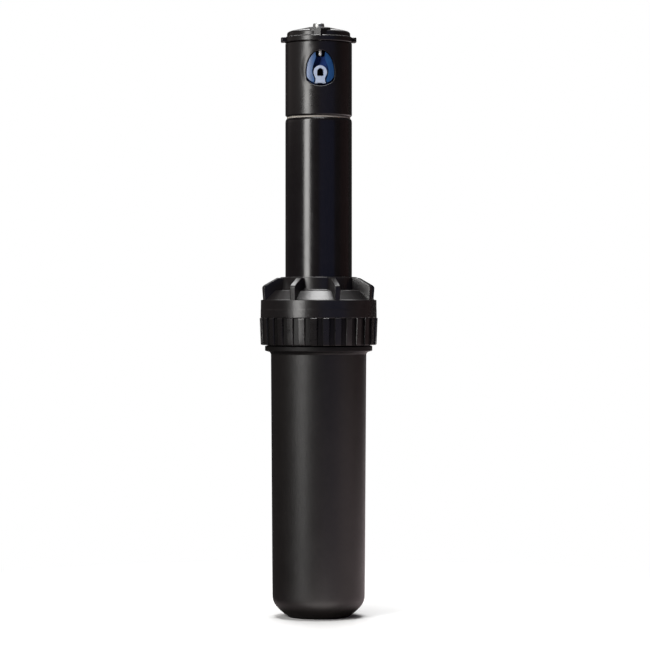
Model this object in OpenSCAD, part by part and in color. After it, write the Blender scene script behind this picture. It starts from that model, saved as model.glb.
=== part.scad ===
// Pop-up gear-driven rotor sprinkler, shown with its riser extended.
// +Z is up, the axis of the riser is the Z axis, the nozzle faces -Y,
// and the origin is the centre of the bottom face. All sizes are in mm.

/* [Body case] */
// Height of the lower case up to its collar
case_h = 138.2; // [134:0.1:139]
// Outer radius of the case at its foot
case_r_bottom = 24; // [23.8:0.1:24.4]
// Outer radius of the case under its collar
case_r_top = 24.8; // [24.6:0.1:25.4]
// Radius of the collar that the cap stops against
collar_r = 27.9; // [27.8:0.1:28.4]
// Radius of the bore that the riser travels in
case_bore_r = 22.3; // [22.2:0.05:22.4]
// Radius of the female pipe thread in the foot
inlet_r = 12.15; // [12:0.05:12.3]

/* [Cap] */
// Radius over the grip ribs at their top
cap_r = 30.7; // [30.4:0.1:31]
// Number of grip ribs round the skirt
cap_ribs = 30; // [24:1:36]
// Angle that one grip rib covers, in degrees
rib_angle = 6.2; // [4:0.1:7]
// Turn of the groove nearest the front, in degrees
rib_turn = -2.1; // [-6:0.1:6]
// Number of strengthening fins on the crown
cap_fins = 8; // [6:1:10]
// Thickness of one fin
fin_t = 3.1; // [2:0.1:3.6]
// Turn of the first fin from the front, in degrees
fin_turn = 15.4; // [0:0.1:44]

/* [Riser and turret] */
// Outer radius of the riser and of the turret
riser_r = 17.3; // [17.1:0.01:17.3]
// Inner radius of the riser and of the turret
riser_bore_r = 15.6; // [15.5:0.05:15.7]
// Height of the top edge of the riser tube
riser_top = 258.5; // [258:0.1:258.9]
// Travel of the riser
stroke = 121; // [100:1:121]
// Outer radius of the pale ring between riser and turret
wear_ring_r = 16.5; // [16.2:0.1:16.7]
// Radius of the pressed rim of the turret cap
rim_r = 17.6; // [17.4:0.1:18]

/* [Gear train] */
// Module of the reduction gears
gear_m = 0.27; // [0.265:0.001:0.275]
// Teeth on each small gear
pinion_n = 9; // [9:1:9]
// Teeth on each large gear
wheel_n = 36; // [36:1:36]
// Teeth inside the driven ring
ring_n = 54; // [54:1:54]
// Thinning of every tooth for running clearance
backlash = 0.045; // [0.02:0.005:0.06]

/* [Springs] */
// Number of turns of the retraction spring
spring_turns = 12; // [10:1:12]
// Wire radius of the retraction spring
spring_wire_r = 0.8; // [0.6:0.05:0.85]

/* [Hidden] */
$fn = 96;
eps = 0.01;
pa = 25;                                   // pressure angle of every gear
cd = (pinion_n + wheel_n) / 2 * gear_m;    // distance between the two gear pins
trip_r = 13.9;                             // radius of the trip shaft
arc_m = 0.5;                               // module of the arc-setting gears
arc_n = 54;
arc_pinion_n = 10;
arc_cd = (arc_n - arc_pinion_n) / 2 * arc_m;
noz_z = 281.5;                             // height of the nozzle axis
screw_y = -14.2;                           // place of the radius screw

// ---------- shapes used by several pieces ----------
module tube(ro, ri, z0, z1) {
    translate([0, 0, z0]) difference() {
        cylinder(r = ro, h = z1 - z0);
        translate([0, 0, -1]) cylinder(r = ri, h = z1 - z0 + 2);
    }
}
// a wedge of a ring, from angle a0 to a1
module sector(ri, ro, a0, a1, z0, z1) {
    n = 6;
    translate([0, 0, z0]) linear_extrude(z1 - z0)
        polygon(concat(
            [for (i = [0:n]) let(a = a0 + (a1 - a0) * i / n) [ro * cos(a), ro * sin(a)]],
            [for (i = [n:-1:0]) let(a = a0 + (a1 - a0) * i / n) [ri * cos(a), ri * sin(a)]]));
}
// involute helpers: roll angle at radius r, and the polar angle it adds
function inv(a) = tan(a) * 180 / PI - a;
function flank(rb, r) = r <= rb ? 0 : inv(acos(rb / r));
// one tooth outline per gap; add and ded are in modules, thin is taken off the tooth
function gear_pts(n, m, phi, add, ded, thin) =
    let(rp = n * m / 2, rb = rp * cos(pa), rt = rp + add * m, rr = rp - ded * m,
        half = 90 / n - thin / 2 / rp * 180 / PI,
        r0 = max(rb, rr), steps = 4)
    [for (k = [0:n - 1]) let(c = phi + 360 / n * k)
        for (s = [-1, 1])
            for (i = [0:steps + 1])
                let(j = s < 0 ? i : steps + 1 - i,
                    r = j == 0 ? rr : r0 + (rt - r0) * (j - 1) / steps,
                    off = half + flank(rb, rp) - flank(rb, max(r, r0)),
                    a = c + s * off)
                [r * cos(a), r * sin(a)]];
module gear2d(n, m, phi, add = 0.8, ded = 1, thin = backlash)
    polygon(gear_pts(n, m, phi, add, ded, thin));
// round wire wound into a coil between two heights
function coil_pts(R, w, turns, z0, z1, steps, sides) =
    let(N = turns * steps)
    [for (i = [0:N]) let(a = 360 * i / steps, z = z0 + w + (z1 - z0 - 2 * w) * i / N)
        for (j = [0:sides - 1]) let(b = 360 * j / sides)
            [(R + w * cos(b)) * cos(a), (R + w * cos(b)) * sin(a), z + w * sin(b)]];
module coil(R, w, turns, z0, z1, steps = 20, sides = 6) {
    N = turns * steps;
    polyhedron(points = coil_pts(R, w, turns, z0, z1, steps, sides),
        faces = concat(
            [[for (j = [sides - 1:-1:0]) j]],
            [for (i = [0:N - 1]) for (j = [0:sides - 1])
                let(k = (j + 1) % sides)
                [i * sides + j, i * sides + k, (i + 1) * sides + k, (i + 1) * sides + j]],
            [[for (j = [0:sides - 1]) N * sides + j]]));
}

// ---------- body case, cap and seal ----------
function ridges_out(z0, p, n, r0, r1) = [for (k = [0:n - 1]) for (q = [[r0, -0.8], [r1, -0.45], [r1, 0.45], [r0, 0.8]]) [q[0], z0 + k * p + q[1]]];
module case() color([0.19, 0.18, 0.17]) {
    difference() {
        rotate_extrude() polygon(concat(
            [[inlet_r, 0], [15.9, 0], [16.6, 0.7], [18.6, 2.1], [20.6, 3.9], [22, 5.4], [23, 6.9],
             [23.7, 8.4], [case_r_bottom, 9.5], [case_r_top, 136.6], [25.4, 137.4],
             [collar_r, case_h], [collar_r, 140.6], [26.4, 141]],
            ridges_out(143.5, 3.2, 5, 26.4, 27.7),
            [[26.4, 161], [case_bore_r, 161], [case_bore_r, 12], [20.9, 8.7], [20.7, 7.8], [15.2, 4.5],
             [15.2, 17], [inlet_r, 17]]));
    }
    // four guide ribs that keep the collar from turning
    for (a = [0:90:270]) rotate([0, 0, a])
        translate([21.2, -1, 12]) cube([1.6, 2, 128]);
}
module cap_fin() rotate([90, 0, 0]) linear_extrude(fin_t, center = true)
    polygon([[19.3, 167.5], [19.3, 176], [22.3, 176], [29.7, 172], [30.4, 171], [29.85, 164], [28.6, 164]]);
module cap() color([0.10, 0.09, 0.09]) {
    difference() {
        union() {
            rotate_extrude() polygon(concat(
                [[29.5, 141.2], [29.5, 155.1], [30.2, 155.4], [30.06, 164.5], [29, 164.6], [28.6, 165.1],
                 [24.2, 169.35], [20.1, 169.7], [19.9, 176.1], [19.6, 176.4], [17.65, 176.4], [17.65, 174.6], [18.8, 174.6],
                 [18.8, 163.5], [25.9, 163.5], [28.1, 161.9]],
                [for (k = [4:-1:0]) for (q = [[28.1, 0.8], [26.8, 0.45], [26.8, -0.45], [28.1, -0.8]])
                    [q[0], 145.1 + 3.2 * k + q[1]]],
                [[28.1, 141.2]]));
            for (k = [0:cap_fins - 1]) rotate([0, 0, -90 + fin_turn + k * 360 / cap_fins]) cap_fin();
            for (k = [0:cap_ribs - 1])
                rotate([0, 0, -90 + rib_turn + 360 / cap_ribs * (k + 0.5)])
                    intersection() {
                        rotate_extrude() polygon([[29, 141.2], [cap_r - 0.6, 141.2], [cap_r, 154.9], [cap_r - 0.35, 155.75], [29, 155.75]]);
                        sector(28, 32, -rib_angle / 2, rib_angle / 2, 141, 156);
                    }
        }
    }
}
module wiper_seal() color([0.07, 0.07, 0.08]) rotate_extrude()
    polygon([[17.34, 163], [18, 161], [25.8, 161], [25.8, 163.4], [18.75, 163.4], [18.75, 174.4],
        [17.6, 174.4], [17.6, 176], [17.34, 176]]);
module spring_seat() color([0.75, 0.75, 0.72]) rotate_extrude()
    polygon([[17.7, 159.2], [21.1, 159.2], [21.1, 159.8], [22.2, 159.8], [22.2, 161], [17.7, 161]]);
module retract_spring() color([0.7, 0.71, 0.72]) coil(19.9, spring_wire_r, spring_turns, 137.05, 159.15);

// ---------- riser ----------
module guide_collar() color([0.12, 0.12, 0.13]) difference() {
    rotate_extrude() polygon([[17.4, 133.5], [22, 133.5], [22, 136.6], [21.6, 137], [17.4, 137]]);
    for (a = [0:90:270]) rotate([0, 0, a]) translate([20.9, -1.4, 133]) cube([3, 2.8, 5]);
}
module riser_tube() color([0.08, 0.06, 0.07]) rotate_extrude()
    polygon([[riser_bore_r, 130], [19.9, 130], [20.5, 130.6], [20.5, 133.4], [riser_r, 133.4],
        [riser_r, riser_top - 2], [riser_r - 0.13, riser_top - 1], [riser_r - 0.45, riser_top - 0.3],
        [riser_r - 1, riser_top], [riser_bore_r, riser_top]]);
module inlet_screen() color([0.62, 0.62, 0.60]) difference() {
    rotate_extrude() polygon([[0, 138.6], [10.6, 138.6], [12, 140.4], [12, 156], [riser_bore_r, 156],
        [riser_bore_r, 158], [11, 158], [11, 141], [9.8, 139.8], [0, 139.8]]);
    for (a = [0:30:150]) rotate([0, 0, a]) translate([-13, -1, 142]) cube([26, 2, 12]);
}
module stator() color([0.72, 0.72, 0.68]) difference() {
    union() {
        translate([0, 0, 161]) cylinder(r = riser_bore_r, h = 4);
        translate([0, 0, 165]) cylinder(r = 2.4, h = 1);
    }
    translate([0, 0, 160]) cylinder(r = 0.5, h = 7);
    for (k = [0:7]) rotate([0, 0, 22.5 + 45 * k]) translate([5.4, 0, 160]) cylinder(r = 1.1, h = 6);
    translate([0, -11, 160]) cylinder(r = 2, h = 6);
    translate([0, trip_r, 160]) cylinder(r = 0.86, h = 6);
}
module bypass_poppet() color([0.8, 0.45, 0.2]) translate([0, -11, 0]) {
    translate([0, 0, 165]) cylinder(r = 2.5, h = 1.2);
    translate([0, 0, 166.2 - eps]) cylinder(r = 0.8, h = 2.8);
    for (a = [0, 90]) rotate([0, 0, a]) translate([-1.9, -0.3, 162]) cube([3.8, 0.6, 3 + eps]);
}
module bypass_spring() color([0.7, 0.71, 0.72]) translate([0, -11, 0]) coil(1.6, 0.25, 4, 166.25, 173.95, 14, 6);
module turbine() color([0.85, 0.85, 0.8]) difference() {
    union() {
        translate([0, 0, 166.3]) cylinder(r = 1.3, h = 9.8);
        translate([0, 0, 167.2]) cylinder(r = 3.2, h = 4.4);
        for (k = [0:11]) rotate([0, 0, 30 * k]) translate([2.6, 0, 169.4]) rotate([35, 0, 0])
            translate([0, -0.25, -2]) cube([4.4, 0.5, 4]);
        translate([0, 0, 176]) linear_extrude(4) gear2d(pinion_n, gear_m, 10);
    }
    translate([0, 0, 166]) cylinder(r = 0.55, h = 15);
}
module gear_case() color([0.55, 0.57, 0.58]) {
    difference() {
        union() {
            translate([0, 0, 174]) cylinder(r = 12.5, h = 22);
            for (a = [30, 150, 270]) rotate([0, 0, a]) translate([12, -0.8, 177]) cube([riser_bore_r - 12 - 0.03, 1.6, 17]);
        }
        translate([0, 0, 175.5]) cylinder(r = 11.5, h = 21);
        translate([0, 0, 173]) cylinder(r = 1.6, h = 4);
        translate([0, cd, 173]) cylinder(r = 0.5, h = 4);
    }
}
module gear_case_cover() color([0.5, 0.52, 0.54]) difference() {
    union() {
        translate([0, 0, 196]) cylinder(r = 12.5, h = 2);
        translate([0, 0, 194.6]) cylinder(r = 11.5, h = 1.4 + eps);
    }
    translate([0, 0, 194]) cylinder(r = 10.6, h = 2);
    translate([0, 0, 194]) cylinder(r = 0.5, h = 3.4);
    translate([0, cd, 194]) cylinder(r = 1.7, h = 5);
}
module gear_pins() color([0.78, 0.79, 0.8]) {
    translate([0, 0, 161.2]) cylinder(r = 0.5, h = 36.2);
    translate([0, cd, 174.2]) cylinder(r = 0.5, h = 28.2);
}
// a large gear with a small gear above it, turning on a pin
module compound(y, wheel_phi, small_phi, z0, z1, z2) translate([0, y, 0]) difference() {
    union() {
        translate([0, 0, z0]) linear_extrude(z1 - z0) gear2d(wheel_n, gear_m, wheel_phi);
        translate([0, 0, z1 - eps]) linear_extrude(z2 - z1 + eps) gear2d(pinion_n, gear_m, small_phi);
        translate([0, 0, z0 - 0.4]) cylinder(r = 1.2, h = 0.5);
    }
    translate([0, 0, z0 - 1]) cylinder(r = 0.55, h = z2 - z0 + 2);
}
module gear_1() color([0.9, 0.88, 0.8]) compound(cd, 5, 30, 176.5, 179.5, 184.5);
module gear_2() color([0.85, 0.83, 0.75]) compound(0, 5, 10, 181, 184, 189);
module gear_3() color([0.9, 0.88, 0.8]) compound(cd, 5, 10, 185.5, 188.5, 202.6);
module drive_ring() color([0.4, 0.42, 0.44]) {
    difference() {
        translate([0, 0, 198.5]) cylinder(r = 9, h = 6.5);
        translate([0, 0, 198]) linear_extrude(5) gear2d(ring_n, gear_m, 3.3333333, 1, 0.7, -backlash);
    }
    translate([0, 0, 205 - eps]) cylinder(r = 5.6, h = 1);
}
module output_shaft() color([0.5, 0.52, 0.54]) difference() {
    tube(7, 5.6, 205, 268.5);
    for (a = [0:120:240]) rotate([0, 0, a]) translate([0, -2.6, 207]) cube([9, 5.2, 16]);
}
module thrust_washer() color([0.9, 0.9, 0.88]) tube(10, 7, 252.1, 252.9);
module retaining_clip() color([0.75, 0.76, 0.78]) difference() {
    tube(9, 7, 251.3, 252.1);
    translate([-1.5, -10, 251]) cube([3, 10, 2]);
}
module riser_head() color([0.09, 0.08, 0.09]) difference() {
    union() {
        translate([0, 0, 253]) cylinder(r = riser_bore_r, h = 5.5);
        translate([0, 0, 258.5]) cylinder(r = 15.2, h = 0.9);
    }
    translate([0, 0, 252]) cylinder(r = 7.05, h = 9);
    translate([0, 0, 255]) cylinder(r = 8.6, h = 2);
    translate([0, trip_r, 252]) cylinder(r = 0.86, h = 9);
}
module shaft_seal() color([0.1, 0.1, 0.1]) tube(8.6, 7.04, 255, 257);
// pale low-friction ring that shows as a thin line between riser and turret
module wear_ring() color([0.85, 0.83, 0.78]) tube(wear_ring_r, 15.2, 258.5, 259.4);

// ---------- reversing trip and arc setting ----------
module trip_shaft() color([0.78, 0.79, 0.8]) translate([0, trip_r, 158.4]) cylinder(r = 0.8, h = 103.6);
module trip_lever() color([0.85, 0.35, 0.15]) difference() {
    union() {
        translate([0, trip_r, 259.9]) cylinder(r = 1.45, h = 1.8);
        translate([-0.8, 10.7, 259.9]) cube([1.6, 3, 1.8]);
    }
    translate([0, trip_r, 259]) cylinder(r = 0.8, h = 4);
}
module flow_vane() color([0.85, 0.35, 0.15]) difference() {
    union() {
        translate([0, trip_r, 158.4]) cylinder(r = 1.5, h = 2.2);
        translate([-2.2, 4, 159]) cube([4.4, 9, 1.2]);
    }
    translate([0, trip_r, 158]) cylinder(r = 0.8, h = 4);
}
module trip_spring() color([0.7, 0.71, 0.72]) translate([0, trip_r, 0]) coil(1.25, 0.2, 3, 250.4, 252.9, 16, 6);
module arc_ring() color([0.9, 0.9, 0.85]) {
    difference() {
        translate([0, 0, 262.3]) cylinder(r = 15.4, h = 2.8);
        translate([0, 0, 262]) linear_extrude(4) gear2d(arc_n, arc_m, 0, 1, 0.7, -backlash);
    }
    sector(11, 14.6, -18, -10, 262.3, 263.3);
    sector(11, 12.4, -18, -10, 260.1, 262.3 + eps);
}
module arc_screw() color([0.8, 0.8, 0.75]) translate([0, arc_cd, 0]) {
    translate([0, 0, 262.5]) linear_extrude(2.4) gear2d(arc_pinion_n, arc_m, 90 + 18, 0.8, 1, 0.08);
    translate([0, 0, 264.9 - eps]) cylinder(r = 1.5, h = 37.2);
    difference() {
        translate([0, 0, 302]) cylinder(r = 2.2, h = 2.4);
        translate([-3, -0.35, 303.2]) cube([6, 0.7, 2]);
    }
}

// ---------- turret ----------
module turret_base() color([0.3, 0.3, 0.32]) difference() {
    union() {
        translate([0, 0, 266]) cylinder(r = riser_bore_r, h = 2.5);
        sector(11, 12.4, 190, 198, 260.1, 266 + eps);
    }
    translate([0, 0, 265]) cylinder(r = 7, h = 5);
    translate([0, arc_cd, 265]) cylinder(r = 1.55, h = 5);
}
// outline of the nozzle port, in the plane of the turret front
function port_pts(g) = concat(
    [for (a = [-20:10:200]) [(7.4 - g) * cos(a), noz_z + 0.2 + (11.1 - g) * sin(a)]],
    [for (a = [-48:8:48]) let(r = 8.8 - g) [r * sin(a), noz_z + 1.8 - r * cos(a)]]);
module port(g, y0, y1) translate([0, y1, 0]) rotate([90, 0, 0]) linear_extrude(y1 - y0) polygon(port_pts(g));
module turret_shell() color([0.09, 0.08, 0.09]) difference() {
    rotate_extrude() polygon([[riser_bore_r, 259.6], [riser_r - 0.6, 259.6], [riser_r, 260.2],
        [riser_r, 297.3], [riser_r - 0.3, 297.6], [riser_bore_r, 297.6]]);
    port(0, -20, -8);
}
module flow_tube() color([0.25, 0.26, 0.28]) difference() {
    union() {
        translate([0, 0, 268.5]) cylinder(r = 7, h = 22.5);
        translate([0, 0, noz_z]) rotate([90, 0, 0]) cylinder(r = 7, h = 9);
        translate([0, 0, 290]) cylinder(r = 3.2, h = 7.9);
    }
    translate([0, 0, 268]) cylinder(r = 5.6, h = 21);
    translate([0, 0, noz_z]) rotate([90, 0, 0]) cylinder(r = 5.6, h = 10);
    translate([0, 0, 291]) cylinder(r = 1.5, h = 8);
}
module nozzle() color([0.12, 0.27, 0.55]) difference() {
    union() {
        intersection() {
            port(0.25, -17.2, -9);
            translate([0, 0, noz_z - 5.4]) cylinder(r = 16.75, h = 20);
        }
        translate([0, -9.2, noz_z]) rotate([-90, 0, 0]) cylinder(r = 5.55, h = 4.2);
    }
    // pocket for the radius screw, and the recess round the orifice
    difference() {
        union() {
            translate([-2.4, -18, noz_z + 7.1]) cube([4.8, 5.1, 6]);
            translate([-2.4, -18, noz_z + 8.2]) cube([4.8, 10, 5]);
            translate([-3.9, -18, noz_z - 4.3]) cube([7.8, 5.1, 11.5]);
            translate([-3.9, -18, noz_z - 7.3]) cube([7.8, 2.2, 4]);
        }
        translate([0, -12, noz_z]) rotate([90, 0, 0]) cylinder(r = 3.6, h = 3.4);
        translate([0, -12.5, 0]) rotate([90, 0, 0]) linear_extrude(3.6)
            polygon([[-1.9, noz_z - 1.9], [1.9, noz_z - 1.9], [2.7, noz_z - 6.5], [-2.7, noz_z - 6.5]]);
    }
    translate([0, -18, noz_z]) rotate([-90, 0, 0]) cylinder(r = 1.6, h = 14);
    translate([0, -9.5, noz_z]) rotate([-90, 0, 0]) cylinder(r1 = 1.2, r2 = 4.7, h = 4.8);
}
module radius_screw() color([0.7, 0.69, 0.66]) translate([0, screw_y, 0]) difference() {
    union() {
        translate([0, 0, 290]) cylinder(r1 = 0.6, r2 = 0.9, h = 0.5);
        translate([0, 0, 290.5 - eps]) cylinder(r = 0.9, h = 12.5);
    }
    translate([-2, -0.2, 302.2]) cube([4, 0.4, 2]);
}
module turret_cap() color([0.09, 0.08, 0.09]) difference() {
    union() {
        rotate_extrude() polygon([[0, 297.9], [rim_r - 0.3, 297.9], [rim_r, 298.2], [rim_r, 300.4], [rim_r - 0.4, 300.8],
            [16.4, 301], [16.4, 302.6], [16.1, 303.2], [15.2, 303.8], [5.6, 306], [0, 306]]);
        for (a = [0, 180]) rotate([0, 0, a]) sector(17, 19.65, -12.5, 12.5, 298.3, 300.6);
        tube(riser_bore_r, 13.7, 295, 298);
        intersection() {
            translate([0, 0, 300]) linear_extrude(7)
                polygon([[-5.4, -5], [5.4, -5], [5.4, -14.8], [0, -17.9], [-5.4, -14.8]]);
            rotate_extrude() polygon([[0, 299], [20, 299], [20, 303.6], [5.6, 305.95], [0, 305.95]]);
        }
    }
    translate([0, 0, 296]) cylinder(r = 1.5, h = 12);
    translate([0, arc_cd, 296]) cylinder(r = 1.55, h = 12);
    translate([0, arc_cd, 302 - eps]) cylinder(r = 2.4, h = 4);
    translate([0, screw_y, 294]) cylinder(r = 0.96, h = 13);
    translate([0, screw_y, 303]) cylinder(r = 1.5, h = 4);
    translate([-1.4, -17, 294]) cube([2.8, 5, 3.9 - eps]);
}
module cap_screw() color([0.62, 0.62, 0.6]) difference() {
    union() {
        translate([0, 0, 292]) cylinder(r = 1.5, h = 14 + eps);
        rotate_extrude() polygon([[0, 306], [2.8, 306], [2.95, 306.15], [2.95, 307.6], [2.6, 308], [2.2, 308.15], [0, 308.15]]);
    }
    translate([-5, -0.4, 306.9]) cube([10, 0.8, 2]);
}

case();
cap();
wiper_seal();
spring_seat();
retract_spring();
guide_collar();
riser_tube();
inlet_screen();
stator();
bypass_poppet();
bypass_spring();
turbine();
gear_case();
gear_case_cover();
gear_pins();
gear_1();
gear_2();
gear_3();
drive_ring();
output_shaft();
thrust_washer();
retaining_clip();
riser_head();
shaft_seal();
wear_ring();
trip_shaft();
trip_lever();
flow_vane();
trip_spring();
arc_ring();
arc_screw();
turret_base();
turret_shell();
flow_tube();
nozzle();
radius_screw();
turret_cap();
cap_screw();
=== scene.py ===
import math
import bpy
import bmesh
from mathutils import Vector, Matrix


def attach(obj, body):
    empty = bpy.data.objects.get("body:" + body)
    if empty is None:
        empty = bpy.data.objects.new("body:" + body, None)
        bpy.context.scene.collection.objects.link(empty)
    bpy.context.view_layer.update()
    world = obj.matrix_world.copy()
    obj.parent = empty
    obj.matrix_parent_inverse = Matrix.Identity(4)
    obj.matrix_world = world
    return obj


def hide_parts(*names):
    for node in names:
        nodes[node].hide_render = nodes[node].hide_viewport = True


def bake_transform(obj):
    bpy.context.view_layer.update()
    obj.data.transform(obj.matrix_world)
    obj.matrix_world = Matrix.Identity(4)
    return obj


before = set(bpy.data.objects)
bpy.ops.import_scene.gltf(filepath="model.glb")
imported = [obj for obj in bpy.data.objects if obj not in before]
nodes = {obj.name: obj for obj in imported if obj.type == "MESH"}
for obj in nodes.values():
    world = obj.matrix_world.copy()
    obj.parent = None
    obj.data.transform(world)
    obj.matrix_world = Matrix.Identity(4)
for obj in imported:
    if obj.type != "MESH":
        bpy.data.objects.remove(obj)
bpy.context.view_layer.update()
MM = 0.001
PI = math.pi


# ------------------------------------------------------------------ mesh helpers
def fillet(pts, seg=5, closed=True):
    """Rounds the corners of a profile: a point is (r, z) or (r, z, radius)."""
    out = []
    n = len(pts)
    for i, p in enumerate(pts):
        f = p[2] if len(p) > 2 else 0
        if f <= 0 or (not closed and i in (0, n - 1)):
            out.append((p[0], p[1]))
            continue
        a, b = pts[i - 1], pts[(i + 1) % n]
        P = Vector((p[0], p[1]))
        u = Vector((a[0], a[1])) - P
        v = Vector((b[0], b[1])) - P
        lu, lv = u.length, v.length
        if lu < 1e-9 or lv < 1e-9:
            out.append((p[0], p[1]))
            continue
        u.normalize(); v.normalize()
        phi = math.acos(max(-1, min(1, u.dot(v))))
        if phi > PI - 0.02 or phi < 0.02:
            out.append((p[0], p[1]))
            continue
        t = min(f / math.tan(phi / 2), 0.48 * min(lu, lv))
        rad = t * math.tan(phi / 2)
        c = P + (u + v).normalized() * (rad / math.sin(phi / 2))
        s, e = P + u * t - c, P + v * t - c
        ang = s.angle(e) if s.length > 1e-9 and e.length > 1e-9 else 0
        for k in range(seg + 1):
            w = k / seg
            if ang > 1e-4:
                q = (s * math.sin((1 - w) * ang) + e * math.sin(w * ang)) / math.sin(ang)
            else:
                q = s.lerp(e, w)
            out.append((c.x + q.x, c.y + q.y))
    return out


def make(name, verts, faces, smooth=True):
    me = bpy.data.meshes.new(name)
    me.from_pydata(verts, [], faces)
    me.validate()
    me.update()
    ob = bpy.data.objects.new(name, me)
    bpy.context.scene.collection.objects.link(ob)
    if smooth:
        me.shade_smooth()
    return ob


def even(n):
    return [360.0 * j / n for j in range(n)]


def lathe(name, pts, n=192, disp=None, angles=None, closed=True):
    """Revolves a profile (mm) about Z. disp(i, r, z, angle) returns a moved (r, z)."""
    ang = angles or even(n)
    verts, rows = [], []
    for i, (r, z) in enumerate(pts):
        if r < 1e-6:
            rows.append([len(verts)] * len(ang))
            verts.append((0, 0, z * MM))
            continue
        row = []
        for a in ang:
            rr, zz = disp(i, r, z, a) if disp else (r, z)
            t = math.radians(a)
            row.append(len(verts))
            verts.append((rr * math.cos(t) * MM, rr * math.sin(t) * MM, zz * MM))
        rows.append(row)
    faces = []
    m, k = len(rows), len(ang)
    for i in range(m if closed else m - 1):
        A, B = rows[i], rows[(i + 1) % m]
        for j in range(k):
            q = (A[j], A[(j + 1) % k], B[(j + 1) % k], B[j])
            f = []
            for x in q:
                if not f or f[-1] != x:
                    f.append(x)
            if len(f) > 2 and f[0] == f[-1]:
                f.pop()
            if len(set(f)) > 2:
                faces.append(tuple(dict.fromkeys(f)))
    ob = make(name, verts, faces)
    outward(ob)
    return ob


def outward(ob):
    bm = bmesh.new()
    bm.from_mesh(ob.data)
    bmesh.ops.recalc_face_normals(bm, faces=bm.faces)
    bm.to_mesh(ob.data)
    bm.free()
    ob.data.update()


def prism(name, pts, z0, z1, bevel=0.0, seg=3, only=None):
    """A straight prism (mm) from an outline in XY, with rounded edges."""
    bm = bmesh.new()
    lo = [bm.verts.new((x * MM, y * MM, z0 * MM)) for x, y in pts]
    hi = [bm.verts.new((x * MM, y * MM, z1 * MM)) for x, y in pts]
    k = len(pts)
    bm.faces.new(lo[::-1])
    bm.faces.new(hi)
    for j in range(k):
        bm.faces.new((lo[j], lo[(j + 1) % k], hi[(j + 1) % k], hi[j]))
    bmesh.ops.recalc_face_normals(bm, faces=bm.faces)
    if bevel:
        edges = [e for e in bm.edges if e.calc_face_angle(0) > math.radians(28) and (only is None or only(e))]
        bmesh.ops.bevel(bm, geom=edges, offset=bevel * MM, segments=seg, profile=0.5, affect="EDGES", clamp_overlap=True)
    me = bpy.data.meshes.new(name)
    bm.to_mesh(me)
    bm.free()
    me.shade_smooth()
    ob = bpy.data.objects.new(name, me)
    bpy.context.scene.collection.objects.link(ob)
    return ob


def block(name, x0, x1, y0, y1, z0, z1, bevel=0.0, seg=3):
    return prism(name, [(x0, y0), (x1, y0), (x1, y1), (x0, y1)], z0, z1, bevel, seg)


def turn(ob, axis, deg, about=(0, 0, 0)):
    c = Vector(about) * MM
    ob.data.transform(Matrix.Translation(c) @ Matrix.Rotation(math.radians(deg), 4, axis) @ Matrix.Translation(-c))
    return ob


def shift(ob, x, y, z):
    ob.data.transform(Matrix.Translation(Vector((x, y, z)) * MM))
    return ob


def boolean(ob, others, op="DIFFERENCE"):
    """Applies a boolean for real, so the result is plain geometry."""
    for o in others:
        m = ob.modifiers.new("b", "BOOLEAN")
        m.operation = op
        m.object = o
        m.solver = "MANIFOLD" if "MANIFOLD" in [x.identifier for x in m.bl_rna.properties["solver"].enum_items] else "EXACT"
        dg = bpy.context.evaluated_depsgraph_get()
        me = bpy.data.meshes.new_from_object(ob.evaluated_get(dg))
        if len(me.polygons) == 0:
            m.solver = "EXACT"
            dg = bpy.context.evaluated_depsgraph_get()
            me = bpy.data.meshes.new_from_object(ob.evaluated_get(dg))
        ob.modifiers.clear()
        old = ob.data
        ob.data = me
        bpy.data.meshes.remove(old)
        old = o.data
        bpy.data.objects.remove(o)
        bpy.data.meshes.remove(old)
    ob.data.name = ob.name
    return ob


def finish_mesh(ob, angle=32, weld=0.002):
    """Cleans, splits the shading at sharp corners and keeps flats flat."""
    bm = bmesh.new()
    bm.from_mesh(ob.data)
    bmesh.ops.remove_doubles(bm, verts=bm.verts, dist=weld * MM)
    bmesh.ops.dissolve_degenerate(bm, edges=bm.edges, dist=weld * MM)
    loose = [v for v in bm.verts if not v.link_faces]
    if loose:
        bmesh.ops.delete(bm, geom=loose, context="VERTS")
    bm.to_mesh(ob.data)
    bm.free()
    ob.data.shade_smooth()
    ob.data.set_sharp_from_angle(angle=math.radians(angle))
    w = ob.modifiers.new("flat", "WEIGHTED_NORMAL")
    w.keep_sharp = True
    w.weight = 60
    return ob


def join(name, obs):
    """Joins finished shells into one object."""
    bm = bmesh.new()
    for o in obs:
        bm.from_mesh(o.data)
    me = bpy.data.meshes.new(name)
    bm.to_mesh(me)
    bm.free()
    for o in obs:
        d = o.data
        bpy.data.objects.remove(o)
        bpy.data.meshes.remove(d)
    ob = bpy.data.objects.new(name, me)
    bpy.context.scene.collection.objects.link(ob)
    me.shade_smooth()
    return ob


def wire(name, pts, w, sides=12):
    """A round wire (mm) along a list of points, with closed round-cut ends."""
    P = [Vector(p) for p in pts]
    verts, faces = [], []
    n = len(P)
    for i in range(n):
        t = (P[min(i + 1, n - 1)] - P[max(i - 1, 0)]).normalized()
        up = Vector((0, 0, 1)) if abs(t.z) < 0.97 else Vector((1, 0, 0))
        a = t.cross(up).normalized()
        b = t.cross(a).normalized()
        k = 0.86 if i in (0, n - 1) else 1
        for s in range(sides):
            g = 2 * PI * s / sides
            verts.append(tuple((P[i] + (a * math.cos(g) + b * math.sin(g)) * w * k) * MM))
    for i in range(n - 1):
        for s in range(sides):
            q = (s + 1) % sides
            faces.append((i * sides + s, i * sides + q, (i + 1) * sides + q, (i + 1) * sides + s))
    faces.append(tuple(range(sides)))
    faces.append(tuple(range((n - 1) * sides, n * sides))[::-1])
    ob = make(name, verts, faces)
    outward(ob)
    return ob


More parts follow.
